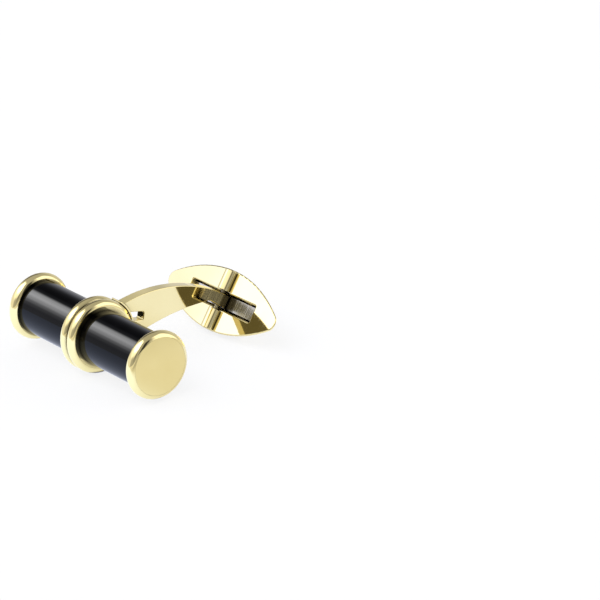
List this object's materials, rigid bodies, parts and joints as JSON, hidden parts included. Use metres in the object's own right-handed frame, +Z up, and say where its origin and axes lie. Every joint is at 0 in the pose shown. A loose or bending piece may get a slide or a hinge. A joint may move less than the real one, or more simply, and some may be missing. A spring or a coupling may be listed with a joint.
{
  "type": "cufflink",
  "caption": "Swivel-back cufflink: a polished black onyx bar with gold end caps and a beaded gold band, on an arched gold post with a sprung oval toggle.",
  "frame": {"origin": "on the table under the middle of the part's box, with the cufflink lying as in the picture", "axes": "+X along the bar, +Y along the post from the bar to the toggle, +Z up from the table"},
  "size_m": [0.0218, 0.0224, 0.0077],
  "materials": {
    "gold": "mirror-polished yellow gold",
    "onyx": "high-gloss polished black onyx",
    "spring_steel": "satin, brushed across"
  },
  "bodies": {
    "head": {"core_rod": "gold", "centre_sleeve": "gold", "band_bead_front": "gold", "band_bead_rear": "gold", "onyx_front": "onyx", "onyx_rear": "onyx", "cap_front_cup": "gold", "cap_front_disc": "gold", "cap_rear_cup": "gold", "cap_rear_disc": "gold", "post_saddle": "gold", "post_arm": "gold"},
    "toggle": {"toggle_plate": "gold", "toggle_shell": "gold", "barrel_upper": "gold", "barrel_lower": "gold", "hinge_pin": "gold", "spring_blade": "spring_steel", "spring_keeper_front": "gold", "spring_keeper_rear": "gold"}
  },
  "joints": [
    {"name": "toggle_swivel", "type": "hinge", "parent": "head", "child": "toggle", "pos_m": [0, 0.00804, 0.00331], "axis": [0, 0.5557, 0.8314], "range_deg": [-78, 78], "deforming": ["spring_blade"]}
  ]
}
